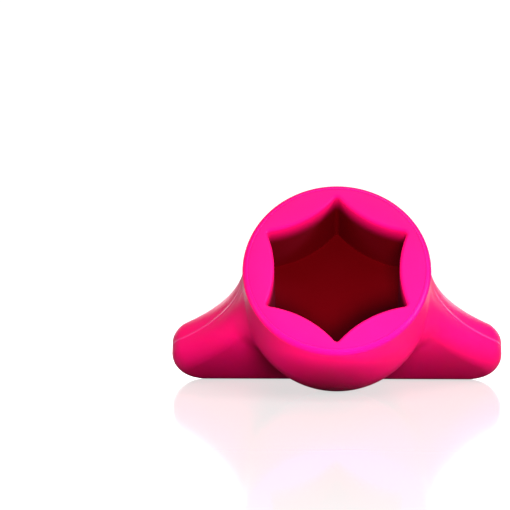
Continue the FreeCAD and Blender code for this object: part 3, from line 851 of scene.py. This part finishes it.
class KEY_OT_socket_cup(bpy.types.Operator):
    """Model the rigid cup: six-point socket, end face and the cheeks on its back"""

    bl_idname = "turning_key.socket_cup"
    bl_label = "Socket cup"

    def execute(self, context):
        scene = context.scene
        rings, depth, back = cup_rings(scene.socket_shape, scene.key_shape)
        count = len(rings[0][0])
        points = [(0.0, 0.0, depth)]
        for outline, up in rings:
            points += [(x, y, up) for x, y in outline]
        points.append((0.0, 0.0, back))
        end = len(points) - 1
        faces = []
        for n in range(count):
            after = (n + 1) % count
            faces.append((0, 1 + after, 1 + n))
            last = 1 + (len(rings) - 1) * count
            faces.append((end, last + n, last + after))
            for ring in range(len(rings) - 1):
                here, further = 1 + ring * count, 1 + (ring + 1) * count
                faces.append((here + n, here + after, further + after, further + n))
        finish = scene.key_finish
        material = pink_moulding("Pink cup", finish.cup_roughness, finish.cup_grain, 0.0)
        # Paint shade down inside the socket.
        paint_socket_shade(material)
        cup = mesh_from(points, faces, "star_socket", material)
        work = bmesh.new()
        work.from_mesh(cup.data)
        add_cheeks(work, scene.socket_shape, lying_matrix())
        work.to_mesh(cup.data)
        work.free()
        face_outwards(cup)
        settle(cup, "socket_cup")
        return {"FINISHED"}


class KEY_OT_plate(bpy.types.Operator):
    """Finish the hidden stiffening plate, whose shape comes from the frame"""

    bl_idname = "turning_key.plate"
    bl_label = "Stiffening plate"

    def execute(self, context):
        plate = frame["nodes"]["stiffening_plate"]
        plate.data.materials.clear()
        plate.data.materials.append(plate_metal())
        return {"FINISHED"}


# ---- the stage ------------------------------------------------------------------------


def add_floor():
    """A wide pale floor that curves up into a wall all round."""
    flat, bend, top, turns = 2.2, 0.9, 2.4, 96
    section = [(0.0, 0.0), (flat / 3, 0.0), (flat, 0.0)]
    section += arc_points((flat, bend), bend, -math.pi / 2, 0, 16)
    section.append((flat + bend, top))
    work = bmesh.new()
    line = [work.verts.new((out, 0, up)) for out, up in section]
    edges = [work.edges.new(pair) for pair in zip(line, line[1:])]
    bmesh.ops.spin(
        work, geom=line + edges, cent=(0, 0, 0), axis=(0, 0, 1),
        angle=WHOLE_TURN, steps=turns, use_merge=True,
    )
    bmesh.ops.remove_doubles(work, verts=work.verts, dist=1e-5)
    bmesh.ops.recalc_face_normals(work, faces=work.faces)
    mesh = bpy.data.meshes.new("studio_floor")
    work.to_mesh(mesh)
    work.free()
    mesh.polygons.foreach_set("use_smooth", [True] * len(mesh.polygons))
    mesh.materials.append(studio_floor_material())
    floor = bpy.data.objects.new("studio_floor", mesh)
    bpy.context.scene.collection.objects.link(floor)
    return floor


def add_light(name, place, aim, size, power, glossy, spread=math.pi):
    data = bpy.data.lights.new(name, "AREA")
    data.shape = "RECTANGLE"
    data.size, data.size_y = size
    data.energy = power
    data.spread = spread
    light = bpy.data.objects.new(name, data)
    light.location = place
    light.rotation_mode = "QUATERNION"
    light.rotation_quaternion = (Vector(place) - Vector(aim)).to_track_quat("Z", "Y")
    light.visible_camera = False
    light.visible_glossy = glossy
    bpy.context.scene.collection.objects.link(light)
    return light


def all_but(thing):
    """A list for a light that holds everything except this thing."""
    rest = bpy.data.collections.new("all but " + thing.name)
    rest.objects.link(thing)
    rest.collection_objects[0].light_linking.link_state = "EXCLUDE"
    return rest


def add_flag(place, width, height):
    """A low black card, out of sight, that shades the key's foot from the low fill."""
    work = bmesh.new()
    corners = ((-1, 0), (1, 0), (1, 1), (-1, 1))
    work.faces.new([
        work.verts.new((place[0] + side * width / 2, place[1], up * height))
        for side, up in corners
    ])
    mesh = bpy.data.meshes.new("flag")
    work.to_mesh(mesh)
    work.free()
    black = bpy.data.materials.new("Black card")
    black.use_nodes = True
    black.node_tree.nodes["Principled BSDF"].inputs["Base Color"].default_value = (0, 0, 0, 1)
    mesh.materials.append(black)
    flag = bpy.data.objects.new("flag", mesh)
    flag.visible_camera = False
    flag.visible_glossy = False
    flag.visible_diffuse = False
    bpy.context.scene.collection.objects.link(flag)
    return flag


def add_camera():
    settings = bpy.context.scene.key_studio
    middle = Vector((0, 0, 0.025))
    tilt = settings.camera_elevation
    back = Vector((0, -math.cos(tilt), math.sin(tilt)))
    data = bpy.data.cameras.new("camera")
    data.lens = settings.lens
    camera = bpy.data.objects.new("camera", data)
    camera.location = middle + back * settings.camera_distance
    camera.rotation_euler = (
        math.pi / 2 - tilt + settings.aim_up, 0, settings.aim_left
    )
    bpy.context.scene.collection.objects.link(camera)
    bpy.context.scene.camera = camera


class KEY_OT_studio(bpy.types.Operator):
    """Set the pale floor, the soft lights and the camera"""

    bl_idname = "turning_key.studio"
    bl_label = "Studio"

    def execute(self, context):
        scene = context.scene
        floor = add_floor()
        softboxes = [
            add_light(name, place, KEY_MIDDLE, size, power, glossy)
            for name, place, size, power, glossy in SOFTBOXES
        ]
        low_fill = add_light(
            "low_fill", (0.02, -0.20, 0.02), (0, 0, 0.02), (0.06, 0.04),
            scene.key_studio.low_fill_power, False, math.radians(70),
        )
        # Only the low fill meets the flag, and it lights only the key, so that
        # neither of them draws a line on the floor.
        flag = add_flag((0, -0.06), 0.3, scene.key_studio.flag_height)
        low_fill.light_linking.receiver_collection = all_but(floor)
        for light in softboxes:
            light.light_linking.blocker_collection = all_but(flag)
        world = bpy.data.worlds.new("studio")
        world.use_nodes = True
        sky = world.node_tree.nodes["Background"]
        sky.inputs["Color"].default_value = (1, 1, 1, 1)
        sky.inputs["Strength"].default_value = 0.05
        scene.world = world
        scene.view_settings.view_transform = "Standard"
        add_camera()
        return {"FINISHED"}


class KEY_PT_panel(bpy.types.Panel):
    """Lists the key's pieces and the studio"""

    bl_label = "Turning Key"
    bl_idname = "KEY_PT_panel"
    bl_space_type = "VIEW_3D"
    bl_region_type = "UI"
    bl_category = "Turning Key"

    def draw(self, context):
        scene = context.scene
        for group in (scene.key_shape, scene.socket_shape, scene.key_finish, scene.key_studio):
            box = self.layout.box()
            for name in group.__annotations__:
                box.prop(group, name)
        for operator in OPERATORS:
            self.layout.operator(operator.bl_idname)


SETTINGS = (
    ("key_shape", KeyShape),
    ("socket_shape", SocketShape),
    ("key_finish", KeyFinish),
    ("key_studio", StudioSettings),
)
OPERATORS = (KEY_OT_grip_skin, KEY_OT_socket_cup, KEY_OT_plate, KEY_OT_studio)


def register():
    for name, group in SETTINGS:
        bpy.utils.register_class(group)
        setattr(bpy.types.Scene, name, PointerProperty(type=group))
    for operator in OPERATORS:
        bpy.utils.register_class(operator)
    bpy.utils.register_class(KEY_PT_panel)


def unregister():
    bpy.utils.unregister_class(KEY_PT_panel)
    for operator in reversed(OPERATORS):
        bpy.utils.unregister_class(operator)
    for name, group in reversed(SETTINGS):
        delattr(bpy.types.Scene, name)
        bpy.utils.unregister_class(group)


def main():
    register()
    bpy.ops.turning_key.grip_skin()
    bpy.ops.turning_key.socket_cup()
    bpy.ops.turning_key.plate()
    bpy.ops.turning_key.studio()


if __name__ == "__main__":
    main()
